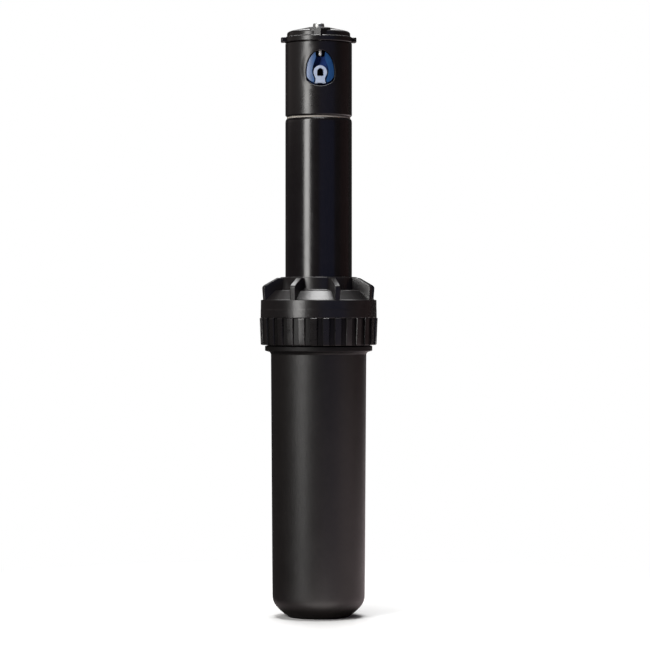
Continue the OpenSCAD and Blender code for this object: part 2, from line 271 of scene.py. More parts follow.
# ------------------------------------------------------------------ material helpers
class Mat:
    """A small builder for procedural node materials."""

    def __init__(self, name):
        self.m = bpy.data.materials.new(name)
        self.m.use_nodes = True
        self.t = self.m.node_tree
        self.b = self.t.nodes["Principled BSDF"]
        self.co = self.t.nodes.new("ShaderNodeTexCoord").outputs["Object"]

    def mapped(self, scale):
        n = self.t.nodes.new("ShaderNodeMapping")
        n.inputs["Scale"].default_value = scale
        self.t.links.new(self.co, n.inputs["Vector"])
        return n.outputs["Vector"]

    def noise(self, scale, detail=4, rough=0.55, vec=None, distortion=0.0):
        n = self.t.nodes.new("ShaderNodeTexNoise")
        n.inputs["Scale"].default_value = scale
        n.inputs["Detail"].default_value = detail
        n.inputs["Roughness"].default_value = rough
        n.inputs["Distortion"].default_value = distortion
        self.t.links.new(vec or self.co, n.inputs["Vector"])
        return n.outputs["Fac"]

    def voronoi(self, scale, feature="F1", vec=None):
        n = self.t.nodes.new("ShaderNodeTexVoronoi")
        n.feature = feature
        n.inputs["Scale"].default_value = scale
        self.t.links.new(vec or self.co, n.inputs["Vector"])
        return n.outputs["Distance"]

    def span(self, value, a, b, c, d):
        n = self.t.nodes.new("ShaderNodeMapRange")
        for k, v in zip(("From Min", "From Max", "To Min", "To Max"), (a, b, c, d)):
            n.inputs[k].default_value = v
        self.t.links.new(value, n.inputs["Value"])
        return n.outputs["Result"]

    def math(self, op, a, b):
        n = self.t.nodes.new("ShaderNodeMath")
        n.operation = op
        for s, v in zip(n.inputs, (a, b)):
            if isinstance(v, (int, float)):
                s.default_value = v
            else:
                self.t.links.new(v, s)
        return n.outputs[0]

    def mix(self, fac, a, b):
        n = self.t.nodes.new("ShaderNodeMix")
        n.data_type = "RGBA"
        for s, v in ((n.inputs[0], fac), (n.inputs[6], a), (n.inputs[7], b)):
            if isinstance(v, tuple):
                s.default_value = (*v, 1)
            elif isinstance(v, (int, float)):
                s.default_value = v
            else:
                self.t.links.new(v, s)
        return n.outputs[2]

    def bump(self, height, distance, strength=1.0, under=None):
        n = self.t.nodes.new("ShaderNodeBump")
        n.inputs["Strength"].default_value = strength
        n.inputs["Distance"].default_value = distance
        self.t.links.new(height, n.inputs["Height"])
        if under is not None:
            self.t.links.new(under, n.inputs["Normal"])
        return n.outputs["Normal"]

    def out(self, colour=None, rough=None, normal=None, **fixed):
        for k, v in (("Base Color", colour), ("Roughness", rough), ("Normal", normal)):
            if v is None:
                continue
            if isinstance(v, tuple):
                self.b.inputs[k].default_value = (*v, 1)
            elif isinstance(v, (int, float)):
                self.b.inputs[k].default_value = v
            else:
                self.t.links.new(v, self.b.inputs[k])
        for k, v in fixed.items():
            self.b.inputs[k.replace("_", " ")].default_value = v
        return self.m


def moulded(name, dark, light, rough=(0.3, 0.4), grain=2600, grain_d=0.00002, scuff=0.3, drag=0.0, ior=1.5, wear=None, sss=None, spec=0.5,
             painted_shade_zone=None):
    """Injection-moulded plastic: faint flow marks, a fine skin, scuffs and uneven gloss.
    painted_shade_zone = (outer radius, z from, z to, strength), in mm: painted shade, the colour darkened towards
    black inside that radius and height band, with a rougher, less glossy surface there."""
    m = Mat(name)
    cloud = m.noise(38, 5, 0.6)
    fine = m.noise(420, 4, 0.5)
    both = m.math("ADD", m.math("MULTIPLY", cloud, 0.65), m.math("MULTIPLY", fine, 0.35))
    col = m.mix(m.span(both, 0.36, 0.64, 0, 1), dark, light)
    # hairline scuffs, long in one direction
    hair = m.noise(1.0, 3, 0.6, vec=m.mapped((1500, 1500, 55)))
    hair2 = m.noise(1.0, 2, 0.6, vec=m.mapped((70, 70, 1700)))
    scr = m.math("MAXIMUM", m.span(hair, 0.66, 0.74, 0, 1), m.span(hair2, 0.68, 0.76, 0, 1))
    patch = m.span(m.noise(22, 3, 0.6), 0.48, 0.68, 0, 1)
    scr = m.math("MULTIPLY", scr, patch)
    if wear:
        col = m.mix(m.math("MULTIPLY", scr, scuff), col, wear)
    r = m.span(m.noise(55, 6, 0.65), 0.3, 0.7, rough[0], rough[1])
    r = m.math("ADD", r, m.math("MULTIPLY", scr, 0.14 * scuff))
    # painted shade: inside the radius and height band the colour is darkened towards near black and the gloss is
    # dulled
    if painted_shade_zone:
        sep = m.t.nodes.new("ShaderNodeSeparateXYZ")
        m.t.links.new(m.co, sep.inputs[0])
        x, y, z = sep.outputs
        rad = m.math("SQRT", m.math("ADD", m.math("MULTIPLY", x, x), m.math("MULTIPLY", y, y)), 0.0)
        fac = m.span(rad, painted_shade_zone[0] * MM - 0.0001, painted_shade_zone[0] * MM + 0.0001, 1, 0)
        fac = m.math("MULTIPLY", fac, m.span(z, (painted_shade_zone[1] - 0.3) * MM, (painted_shade_zone[1] + 0.3) * MM, 0, 1))
        fac = m.math("MULTIPLY", fac, m.span(z, (painted_shade_zone[2] - 0.1) * MM, (painted_shade_zone[2] + 0.1) * MM, 1, 0))
        # painted shade colour: near black, mixed in by the zone's strength
        col = m.mix(m.math("MULTIPLY", fac, painted_shade_zone[3]), col, (0.0005, 0.0005, 0.0005))
        r = m.math("ADD", r, m.math("MULTIPLY", fac, 0.12))
        m.t.links.new(m.span(fac, 0, 1, spec, spec * (1 - painted_shade_zone[3])), m.b.inputs["Specular IOR Level"])
    nrm = m.bump(m.noise(grain, 3, 0.6), grain_d, 1.0)
    nrm = m.bump(m.noise(130, 2, 0.5), 0.00002 + drag, 1.0, under=nrm)
    nrm = m.bump(scr, -0.00001 * scuff, 1.0, under=nrm)
    if sss:
        m.b.inputs["Subsurface Weight"].default_value = sss
        m.b.inputs["Subsurface Radius"].default_value = (0.6, 0.55, 0.45)
        m.b.inputs["Subsurface Scale"].default_value = 0.0012
    if painted_shade_zone:
        return m.out(col, r, nrm, IOR=ior)
    return m.out(col, r, nrm, IOR=ior, Specular_IOR_Level=spec)


def metal(name, colour, rough=(0.22, 0.34), rings=0.0, aniso=0.0):
    m = Mat(name)
    c = m.mix(m.span(m.noise(160, 5, 0.6), 0.35, 0.65, 0, 1), tuple(x * 0.82 for x in colour), colour)
    c = m.mix(m.span(m.noise(60, 3, 0.5), 0.6, 0.75, 0, 0.5), c, tuple(x * 0.6 for x in colour))
    r = m.span(m.noise(300, 5, 0.6), 0.3, 0.7, rough[0], rough[1])
    fine = m.noise(1.0, 3, 0.6, vec=m.mapped((900, 900, 9000)))
    nrm = m.bump(fine, 0.000006, 1.0)
    if aniso:
        m.b.inputs["Anisotropic"].default_value = aniso
    return m.out(c, r, nrm, Metallic=1.0)


def dress(ob, mat):
    ob.data.materials.clear()
    ob.data.materials.append(mat)
    return ob


def cad(node, mat, slot=None, bevel=0.0, angle=30):
    """Keeps a CAD node, with welded, gently rounded edges and its own material."""
    o = nodes[node]
    for s in o.material_slots:
        s.link = "DATA"
    o.data.materials.clear()
    o.data.materials.append(mat)
    w = o.modifiers.new("weld", "WELD")
    w.merge_threshold = 0.000002
    if bevel:
        b = o.modifiers.new("round", "BEVEL")
        b.width = bevel * MM
        b.segments = 2
        b.limit_method = "ANGLE"
        b.angle_limit = math.radians(45)
        b.use_clamp_overlap = True
    return o


# ------------------------------------------------------------------ materials
# the case's painted_shade_zone paints shade on the collar and neck, z 136.6 to 150 mm, under the cap's overhang
M_CASE = moulded("case_black", (0.0052, 0.0043, 0.0043), (0.0080, 0.0067, 0.0065), rough=(0.38, 0.46), grain=2300,
                 grain_d=0.00005, scuff=0.5, wear=(0.030, 0.027, 0.026), spec=0.42, painted_shade_zone=(40, 136.6, 150, 0.45))
# the cap's painted_shade_zone paints shade into the grooves between the grip ribs, inside 29.85 mm radius
M_CAP = moulded("cap_black", (0.0058, 0.0049, 0.0052), (0.0092, 0.0078, 0.0081), rough=(0.25, 0.33), grain=2000,
                grain_d=0.00002, scuff=0.5, wear=(0.035, 0.032, 0.032), spec=0.52, painted_shade_zone=(29.85, 141.0, 155.3, 0.6))
M_RISER = moulded("riser_black", (0.0046, 0.0036, 0.0042), (0.0066, 0.0054, 0.0062), rough=(0.17, 0.25), grain=1500,
                  grain_d=0.000005, scuff=0.6, wear=(0.024, 0.023, 0.025), spec=0.48)
M_TURRET = moulded("turret_black", (0.0054, 0.0042, 0.0046), (0.008, 0.0064, 0.0068), rough=(0.25, 0.33), grain=1700,
                   grain_d=0.00001, scuff=0.5, wear=(0.028, 0.026, 0.027), spec=0.48)
M_RUBBER = moulded("seal_rubber", (0.008, 0.008, 0.0085), (0.014, 0.014, 0.0145), rough=(0.55, 0.7), grain=3200,
                   grain_d=0.00004, scuff=0.1)
M_ACETAL = moulded("acetal_white", (0.62, 0.6, 0.54), (0.72, 0.7, 0.64), rough=(0.3, 0.42), grain=1800,
                   grain_d=0.00001, scuff=0.2, wear=(0.8, 0.79, 0.74), sss=0.25)
# pale tone of the ring under the turret: a painted reflection of the bright line along the turret's lower edge
M_RING_PAINTED_HIGHLIGHT = moulded("ring_pale", (0.35, 0.32, 0.285), (0.45, 0.42, 0.38), rough=(0.4, 0.5), grain=1800,
                 grain_d=0.00001, scuff=0.2, wear=(0.66, 0.64, 0.6), sss=0.2)
M_GREY = moulded("gear_grey", (0.17, 0.18, 0.19), (0.24, 0.25, 0.265), rough=(0.34, 0.46), grain=2000,
                 grain_d=0.00002, scuff=0.3, wear=(0.34, 0.35, 0.36))
M_ORANGE = moulded("valve_orange", (0.55, 0.14, 0.025), (0.66, 0.2, 0.04), rough=(0.34, 0.46), grain=2000,
                   grain_d=0.00002, scuff=0.25, wear=(0.75, 0.35, 0.15), sss=0.15)
M_SCREEN = moulded("screen_grey", (0.3, 0.3, 0.285), (0.38, 0.38, 0.36), rough=(0.38, 0.5), grain=2200,
                   grain_d=0.00002, scuff=0.3, wear=(0.5, 0.5, 0.48))
M_BLUE = moulded("nozzle_blue", (0.010, 0.060, 0.185), (0.016, 0.082, 0.24), rough=(0.3, 0.4), grain=1800,
                 grain_d=0.00001, scuff=0.2, wear=(0.2, 0.32, 0.55), spec=0.55)
M_PALE = moulded("nozzle_pale", (0.40, 0.47, 0.62), (0.5, 0.57, 0.7), rough=(0.3, 0.42), grain=1800,
                 grain_d=0.00002, scuff=0.2, wear=(0.6, 0.66, 0.76), sss=0.2)
M_NAVY = moulded("nozzle_navy", (0.010, 0.030, 0.13), (0.015, 0.045, 0.18), rough=(0.3, 0.42), grain=1800,
                 grain_d=0.00002, scuff=0.1, spec=0.25)
M_ZINC = moulded("screw_zinc", (0.62, 0.6, 0.55), (0.74, 0.72, 0.68), rough=(0.26, 0.36), grain=1500,
                 grain_d=0.00001, scuff=0.2, wear=(0.85, 0.84, 0.8), spec=1.0)
M_STEEL = metal("stainless", (0.56, 0.55, 0.53), rough=(0.2, 0.32))
M_DULL = metal("zinc_dull", (0.42, 0.42, 0.41), rough=(0.4, 0.52))
M_SPRING = metal("spring_wire", (0.5, 0.5, 0.51), rough=(0.24, 0.36))


def along(pts, sub=4):
    """Catmull-Rom through profile points."""
    out = []
    n = len(pts)
    for i in range(n - 1):
        p0, p1, p2, p3 = (Vector(pts[max(0, min(n - 1, i + d))]) for d in (-1, 0, 1, 2))
        for k in range(sub):
            t = k / sub
            q = 0.5 * ((2 * p1) + (p2 - p0) * t + (2 * p0 - 5 * p1 + 4 * p2 - p3) * t * t + (3 * p1 - p0 - 3 * p2 + p3) * t ** 3)
            out.append((q.x, q.y))
    out.append(tuple(pts[-1]))
    return out


def near(a, b):
    """Smallest angle from a to b, in degrees."""
    return (a - b + 180) % 360 - 180


def clamp(x, a=0.0, b=1.0):
    return max(a, min(b, x))


def trapezoid(z, a, pitch, flat, flank, lead=0.0):
    """1 on a thread's crest, 0 in its root."""
    t = ((z - lead) / pitch - a / 360.0) % 1.0
    d = min(t, 1 - t) * pitch
    return clamp((flat + flank - d) / flank)


def frange(a, b, step):
    n = max(1, int(round(abs(b - a) / step)))
    return [a + (b - a) * i / n for i in range(n + 1)]


# ------------------------------------------------------------------ case
def build_case():
    foot = along([(15.3, 0.0), (15.95, 0.12), (16.75, 0.72), (18.6, 2.12), (20.6, 3.92), (22.0, 5.42),
                  (23.0, 6.95), (23.68, 8.6), (23.98, 10.4), (24.04, 14.0)], 4)
    pts = [(12.7, 0.0), (13.0, 0.0)] + foot
    tags = ["inlet_edge", ""] + ["outer"] * len(foot)

    def add(ps, tag):
        pts.extend(ps)
        tags.extend([tag] * len(ps))
    add([(24.04 + (24.8 - 24.04) * (z - 14) / 122, z) for z in frange(26, 134, 12)], "outer")
    add(fillet([(24.79, 135.0), (24.8, 136.5, 0.5), (25.5, 137.5, 0.45), (27.9, 138.2, 0.4), (27.9, 140.6, 0.45), (26.4, 141.0, 0.25),
                (26.4, 141.8)], closed=False), "outer")
    add([(26.4, z) for z in frange(142.0, 160.2, 0.25)], "neck")
    add(fillet([(26.4, 160.4), (26.4, 161.0, 0.3), (22.3, 161.0, 0.3), (22.3, 160.2)], closed=False), "")
    add([(22.3, 150.0), (22.3, 140.2), (22.3, 139.9)], "")
    add([(22.3, 139.6), (22.3, 100.0), (22.3, 60.0), (22.3, 20.0), (22.3, 12.4)], "rib")
    add([(22.25, 12.0), (21.7, 10.4), (20.95, 8.7), (20.7, 7.8), (18.0, 6.1), (15.5, 4.66)], "")
    add(fillet([(15.2, 4.9), (15.2, 17.0, 0.4), (12.9, 17.0, 0.15), (12.3, 16.5)], closed=False), "")
    add([(12.15, z) for z in frange(16.2, 0.7, 0.16)], "inlet")
    add([(12.3, 0.4)], "inlet_edge")

    extra = []
    for k in range(4):
        extra += [k * 90 + d for d in (-3.1, -2.7, -2.2, -0.6, -0.3, 0.3, 0.6, 2.2, 2.7, 3.1)]
    ang = sorted(set(x % 360 for x in even(216) + extra))

    def disp(i, r, z, a):
        t = tags[i]
        if t == "outer" and 1.0 < z < 137:
            d = min(abs(near(a, 0)), abs(near(a, 180)))
            return r + 0.045 * clamp(1 - d / 0.45), z
        if t == "neck":
            fade = clamp((z - 142.2) / 1.2) * clamp((159.8 - z) / 1.2)
            return r + 1.25 * fade * trapezoid(z, a, 3.2, 0.45, 0.42, 143.5), z
        if t == "rib":
            d = abs(near(a, round(a / 90) * 90))
            return r - 1.1 * clamp((2.75 - d) / 0.5) * clamp((140.0 - z) / 0.4), z
        if t == "inlet":
            fade = clamp((16.2 - z) / 1.5)
            return r + 1.05 * fade * trapezoid(z, a, 1.814, 0.12, 0.62), z
        return r, z
    o = lathe("case_shell", pts, disp=disp, angles=ang)
    finish_mesh(o, 34)
    return o


# ------------------------------------------------------------------ cap
def build_cap(fin_turn, rib_turn):
    offs = [-3.42, -3.3, -3.1, -2.85, -1.4, 0.0, 1.4, 2.85, 3.1, 3.3, 3.42, 4.4, 6.0, 7.6]
    wts = [0.0, 0.35, 0.8, 1.0, 1.0, 1.0, 1.0, 1.0, 0.8, 0.35, 0.0, 0.0, 0.0, 0.0]
    ang, wt = [], []
    for k in range(30):
        c = -90 + rib_turn + 12 * (k + 0.5)
        for o_, w_ in zip(offs, wts):
            ang.append(c + o_)
            wt.append(w_)
    weight = dict((round(a, 4), w) for a, w in zip(ang, wt))
    rows = [  # groove radius, rib radius, z
        (29.15, 29.6, 141.2), (29.38, 29.95, 141.32), (29.5, 30.1, 141.6), (29.5, 30.26, 145.0), (29.5, 30.46, 150.0), (29.5, 30.62, 153.8),
        (29.5, 30.69, 154.5), (29.5, 30.68, 154.8), (29.5, 30.6, 155.05), (29.5, 30.46, 155.2), (29.55, 30.3, 155.3),
        (29.75, 30.2, 155.36)]
    pts = [(28.1, 141.5), (28.35, 141.2)] + [(g, z) for g, r, z in rows]
    ribs = {2 + i: (r, z) for i, (g, r, z) in enumerate(rows)}
    pts += fillet([(30.12, 155.4), (30.2, 155.55, 0.1), (30.17, 159.4, 0.15), (30.11, 159.65, 0.15), (30.06, 164.5, 0.35), (29.0, 164.65, 0.25),
                   (28.6, 165.1, 0.4), (24.2, 169.35, 0.7), (20.2, 169.7, 0.8), (19.92, 176.4, 0.45), (17.65, 176.4, 0.35), (17.65, 174.6, 0.1),
                   (18.8, 174.6), (18.8, 163.5, 0.15), (25.9, 163.5, 0.3), (28.1, 161.95, 0.3), (28.1, 161.6)], closed=False)
    n0 = len(pts)
    pts += [(28.1, z) for z in frange(161.2, 142.2, 0.28)]
    pts += [(28.1, 141.9)]

    def disp(i, r, z, a):
        if i in ribs:
            w = weight.get(round(a, 4), 0.0)
            return r + (ribs[i][0] - r) * w, z
        if n0 <= i < len(pts) - 1:
            fade = clamp((161.0 - z) / 1.2) * clamp((z - 142.6) / 1.2)
            return r - 1.25 * fade * trapezoid(z, a, 3.2, 0.45, 0.42, 145.1), z
        return r, z
    body = lathe("cap_shell", pts, disp=disp, angles=ang)
    fins = []
    for k in range(8):
        f = prism("fin", [(18.95, 166.2), (18.95, 176.0), (22.4, 176.0), (29.3, 172.25), (30.2, 171.5), (30.4, 170.6), (29.9, 164.1), (28.7, 163.7)],
                  -1.55, 1.55, 0.42, 4)
        turn(f, "X", 90)
        turn(f, "Z", -90 + fin_turn + 45 * k)
        fins.append(f)
    boolean(body, fins, "UNION")
    finish_mesh(body, 30)
    return body


# ------------------------------------------------------------------ turret
NZ = 281.5  # height of the nozzle axis


def port_outline(g, step=4):
    up = [((7.4 - g) * math.cos(math.radians(a)), NZ + 0.2 + (11.1 - g) * math.sin(math.radians(a))) for a in frange(-20, 200, step)]
    lo = [((9.6 - g) * math.sin(math.radians(a)), NZ + 2.6 - (9.6 - g) * math.cos(math.radians(a))) for a in frange(-48, 48, step)]
    return up + lo


def front_prism(name, outline, y0, y1, bevel=0.0, seg=3):
    """An outline in XZ (mm), extruded along Y."""
    o = prism(name, [(x, z) for x, z in outline], -y1, -y0, bevel, seg)
    turn(o, "X", 90)
    return o


def port_cutter():
    """Cuts the port and rounds its lip, following the round of the turret."""
    lip = 0.42
    layers = [(8.0, 0.0, True), (15.0, 0.0, False)]
    for k in range(6):
        t = math.radians(90 * k / 5)
        layers.append((17.3 - lip + lip * math.sin(t), -(lip - lip * math.cos(t)), False))
    layers.append((18.2, -lip - 0.02, False))
    verts, faces = [], []
    for R, g, flat in layers:
        pts = port_outline(g, 2)
        for x, z in pts:
            y = -R if flat else -math.sqrt(R * R - x * x)
            verts.append((x * MM, y * MM, z * MM))
    k = len(port_outline(0, 2))
    for i in range(len(layers) - 1):
        for j in range(k):
            faces.append((i * k + j, i * k + (j + 1) % k, (i + 1) * k + (j + 1) % k, (i + 1) * k + j))
    faces.append(tuple(range(k))[::-1])
    faces.append(tuple(range((len(layers) - 1) * k, len(layers) * k)))
    c = make("cut", verts, faces)
    outward(c)
    return c


def build_shell():
    prof = fillet([(15.6, 260.4), (15.6, 259.6, 0.15), (16.7, 259.6, 0.1), (17.3, 260.2, 0.25), (17.3, 262.0)], closed=False)
    n_in = len(prof)
    prof += [(17.3, z) for z in frange(264.0, 296.5, 0.75)]
    prof += fillet([(17.3, 296.8), (17.3, 297.3, 0.15), (17.0, 297.6, 0.12), (15.6, 297.6, 0.12), (15.6, 297.0)], closed=False)

    def disp(i, r, z, a):
        if r < 17.2 or z < 263 or z > 297:
            return r, z
        u = near(a, -90) * PI / 180 * 17.3
        v = z - NZ - 2.1
        rho = math.hypot(u / 7.9, v / 9.7)
        dish = math.exp(-((rho - 1.3) / 0.13) ** 2)
        return r - 0.045 * dish, z
    o = lathe("turret_tube", prof, n=360, disp=disp)
    boolean(o, [port_cutter()])
    finish_mesh(o, 36)
    return o


def build_turret_cap():
    prof = fillet([(0, 297.9), (17.3, 297.9, 0.15), (17.6, 298.2, 0.15), (17.6, 300.4, 0.25), (17.2, 300.8, 0.25), (16.45, 301.0, 0.15),
                   (16.4, 302.75, 0.25), (16.0, 303.35, 0.35), (15.1, 303.82, 0.4), (5.8, 305.9, 0.4), (4.6, 306.0)], closed=False, seg=4)
    prof += [(0, 306.0)]
    body = lathe("turret_top", prof, n=192, closed=False)
    tabs = []
    for s in (0, 180):
        arc = [(19.65 * math.cos(math.radians(a)), 19.65 * math.sin(math.radians(a))) for a in frange(-12, 12, 2)]
        arc += [(16.6 * math.cos(math.radians(a)), 16.6 * math.sin(math.radians(a))) for a in frange(12, -12, 4)]
        t = prism("tab", arc, 298.25, 300.6, 0.35, 3)
        turn(t, "Z", s)
        tabs.append(t)
    prow = prism("prow", [(-5.4, -5.0), (-5.4, -14.8), (0.0, -17.9), (5.4, -14.8), (5.4, -5.0)], 300.0, 307.0, 0.0)
    roof = lathe("roof", [(0, 299.0), (20, 299.0), (20, 303.62), (5.6, 305.93), (0, 305.93)], n=192, closed=False)
    boolean(prow, [roof], "INTERSECT")
    bm = bmesh.new()
    bm.from_mesh(prow.data)
    bmesh.ops.remove_doubles(bm, verts=bm.verts, dist=0.00001)
    ed = [e for e in bm.edges if len(e.link_faces) == 2 and e.calc_face_angle(0) > math.radians(28)]
    bmesh.ops.bevel(bm, geom=ed, offset=0.28 * MM, segments=3, profile=0.5, affect="EDGES", clamp_overlap=True)
    bm.to_mesh(prow.data)
    bm.free()
    spig = lathe("spigot", fillet([(13.7, 295.0, 0.2), (15.6, 295.0, 0.3), (15.6, 298.4), (13.7, 298.4)]), n=128)
    boolean(body, tabs + [prow, spig], "UNION")

    def drill(x, y, r, z0, z1):
        c = lathe("drill", [(0, z0), (r, z0), (r, z1), (0, z1)], n=48, closed=False)
        return shift(c, x, y, 0)
    cuts = [drill(0, 11, 1.55, 294, 303), drill(0, 11, 2.45, 301.98, 308), drill(0, -14.2, 0.97, 290, 308),
            drill(0, -14.2, 1.5, 303.0, 308), drill(0, 0, 1.51, 294, 306.5), block("slotcut", -1.4, 1.4, -17, -12, 293, 297.88)]
    boolean(body, cuts)
    finish_mesh(body, 32)
    return body


def build_nozzle():
    """Blue insert: a back plate, two raised wings, and a pale arched orifice on a flared stem."""
    parts = []

    def cyl_front(o, r):
        c = lathe("cyl", [(0, 268), (r, 268), (r, 300), (0, 300)], n=256, closed=False)
        boolean(o, [c], "INTERSECT")
        return o

    def round_front(o, w, angle=40):
        bm = bmesh.new()
        bm.from_mesh(o.data)
        bmesh.ops.remove_doubles(bm, verts=bm.verts, dist=0.000005)
        ed = [e for e in bm.edges if len(e.link_faces) == 2 and e.calc_face_angle(0) > math.radians(angle) and min(v.co.y for v in e.verts) < -0.0138]
        bmesh.ops.bevel(bm, geom=ed, offset=w * MM, segments=3, profile=0.5, affect="EDGES", clamp_overlap=True)
        bm.to_mesh(o.data)
        bm.free()
        return o
    plate = front_prism("plate", [(x, z) for x, z in port_outline(0.3, 5) if z > NZ - 6.1], -13.0, -9.0, 0.15, 2)
    spig = lathe("spig", fillet([(0, 0), (5.55, 0), (5.55, 4.4, 0.4), (0, 4.4)], closed=False), n=96, closed=False)
    turn(spig, "X", -90)
    shift(spig, 0, -9.4, NZ)
    boolean(plate, [spig], "UNION")
    boolean(plate, [block("notch", -2.35, 2.35, -18, -8, NZ + 8.25, NZ + 14)])
    parts.append((plate, 2))

    def wing(s):
        # outer edge follows the port, inner edge hugs the orifice ring and the screw pocket
        outer = [((7.4 - 0.3) * math.cos(math.radians(a)), NZ + 0.2 + (11.1 - 0.3) * math.sin(math.radians(a))) for a in frange(-12, 69, 3)]
        inner = [(2.5, 9.4), (2.35, 8.2), (2.5, 6.9), (3.05, 5.4), (3.75, 3.6), (4.15, 1.8), (4.2, 0.2), (3.95, -1.3), (3.4, -2.6), (3.05, -3.8), (3.15, -4.9),
                 (3.6, -5.25), (4.6, -4.75), (5.6, -4.0), (6.4, -3.1)]
        pts = [(s * x, z) for x, z in outer + [(x, NZ + z) for x, z in inner]]
        if s < 0:
            pts = pts[::-1]
        w = front_prism("wing", pts, -17.4, -12.6, 0, 2)
        cyl_front(w, 16.72)
        return round_front(w, 0.45)
    parts.append((wing(1), 0))
    parts.append((wing(-1), 0))

    ring = [(3.55 * math.cos(math.radians(a)), NZ + 3.55 * math.sin(math.radians(a))) for a in frange(-28, 208, 8)]
    ring += [(x, NZ + z) for x, z in [(-2.6, -2.7), (-2.45, -3.7), (-2.6, -4.7), (-3.0, -5.6), (-1.7, -5.9), (-1.0, -5.5), (1.0, -5.5), (1.7, -5.9), (3.0, -5.6),
                                      (2.6, -4.7), (2.45, -3.7), (2.6, -2.7)]]
    orifice = front_prism("orifice", ring, -15.9, -12.6, 0.34, 3)
    hole = [(1.62 * math.cos(math.radians(a)), NZ + 0.45 + 1.62 * math.sin(math.radians(a))) for a in frange(0, 180, 10)]
    hole += [(x, NZ + z) for x, z in [(-1.68, -1.45), (-1.5, -1.8), (-1.2, -1.95), (1.2, -1.95), (1.5, -1.8), (1.68, -1.45)]]
    boolean(orifice, [front_prism("cut", hole, -18.0, -12.0)])
    parts.append((orifice, 1))
    boolean(plate, [front_prism("cut", hole, -15.0, -8.3)])
    # bore behind the arch
    c = lathe("bore", [(0, 0), (1.45, 0), (1.45, 6), (4.6, 10.2), (4.6, 11), (0, 11)], n=64, closed=False)
    turn(c, "X", -90)
    shift(c, 0, -15.0, NZ)
    boolean(plate, [c])
    mats = [M_BLUE, M_PALE, M_NAVY]
    bm = bmesh.new()
    for o, k in parts:
        start = len(bm.faces)
        bm.from_mesh(o.data)
        bm.faces.ensure_lookup_table()
        for f in bm.faces[start:]:
            f.material_index = k
    me = bpy.data.meshes.new("nozzle_insert")
    bm.to_mesh(me)
    bm.free()
    for o, k in parts:
        d = o.data
        bpy.data.objects.remove(o)
        bpy.data.meshes.remove(d)
    ob = bpy.data.objects.new("nozzle_insert", me)
    bpy.context.scene.collection.objects.link(ob)
    for m in mats:
        me.materials.append(m)
    finish_mesh(ob, 34, weld=0.0005)
    return ob


def build_cap_screw():
    o = lathe("top_screw", fillet([(0, 292.0), (1.2, 292.0), (1.5, 292.6), (1.5, 306.0), (2.85, 306.0, 0.1), (2.95, 306.2, 0.1), (2.95, 307.5, 0.15),
                                   (2.7, 308.0, 0.3), (2.0, 308.15, 0.2), (0, 308.15)], closed=False), n=96, closed=False)
    boolean(o, [block("slot", -5, 5, -0.42, 0.42, 307.15, 309, 0)])
    finish_mesh(o, 30)
    return o


def build_radius_screw():
    pts = [(0, 290.0), (0.45, 290.0), (0.8, 290.35)]
    pts += [(0.9, z) for z in frange(291.0, 301.6, 0.1)]
    pts += [(0.9, 301.9), (0.95, 302.9), (0.8, 303.0), (0, 303.0)]

    def disp(i, r, z, a):
        if abs(r - 0.9) < 1e-6 and 291.4 < z < 301.7:
            return r - 0.11 * (1 - trapezoid(z, a, 0.6, 0.06, 0.24)), z
        return min(r, 0.9), z
    o = lathe("radius_adjuster", pts, n=32, disp=disp, closed=False)
    boolean(o, [block("slot", -2, 2, -0.2, 0.2, 302.2, 304, 0)])
    shift(o, 0, -14.2, 0)
    finish_mesh(o, 40, weld=0.0008)
    return o


def simple(name, pts, mat, body, node, n=160, angle=32):
    o = lathe(name, fillet(pts), n=n)
    finish_mesh(o, angle)
    dress(o, mat)
    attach(o, body)
    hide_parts(node)
    return o


def place(o, mat, body, node):
    if mat:
        dress(o, mat)
    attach(o, body)
    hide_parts(node)
    return o


FIN_TURN, RIB_TURN = 15.4, -2.1

place(build_case(), M_CASE, "case", "case")
place(build_cap(FIN_TURN, RIB_TURN), M_CAP, "case", "cap")
simple("wiper", [(17.34, 163, 0.2), (18, 161, 0.2), (25.8, 161, 0.3), (25.8, 163.4, 0.3), (18.75, 163.4, 0.2), (18.75, 174.4, 0.2), (17.6, 174.4, 0.05),
                 (17.6, 176, 0.1), (17.34, 176, 0.08)], M_RUBBER, "case", "wiper_seal")
simple("spring_ring", [(17.7, 159.2, 0.1), (21.1, 159.2, 0.15), (21.1, 159.8, 0.1), (22.2, 159.8, 0.15), (22.2, 161, 0.15), (17.7, 161, 0.2)],
       M_ACETAL, "case", "spring_seat")

# retraction spring, closed up while the riser is out
N = 12 * 44
sp = wire("coil_spring", [(19.9 * math.cos(2 * PI * i / 44), 19.9 * math.sin(2 * PI * i / 44), 137.05 + 0.8 + (159.15 - 137.05 - 1.6) * i / N)
                          for i in range(N + 1)], 0.8, 12)
dress(sp, M_SPRING)
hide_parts("retract_spring")
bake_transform(sp)

collar = lathe("collar_ring", fillet([(17.4, 133.5, 0.15), (22, 133.5, 0.2), (22, 137, 0.4), (17.4, 137, 0.2)]), n=180)
boolean(collar, [turn(block("notch", 20.9, 24, -1.4, 1.4, 133, 138), "Z", 90 * k) for k in range(4)])
finish_mesh(collar, 32)
place(collar, M_TURRET, "guide_collar", "guide_collar")

riser = lathe("riser_pipe", fillet([(15.6, 130, 0.3), (19.9, 130, 0.2), (20.5, 130.6, 0.2), (20.5, 133.4, 0.3), (17.3, 133.4), (17.3, 150), (17.3, 175),
                                    (17.3, 200), (17.3, 225), (17.3, 250), (17.3, 256.3), (17.26, 257.0), (17.14, 257.6), (16.9, 258.1), (16.55, 258.4),
                                    (16.2, 258.5), (15.6, 258.5, 0.1), (15.6, 200)]), n=256)
finish_mesh(riser, 34)
place(riser, M_RISER, "riser", "riser_tube")

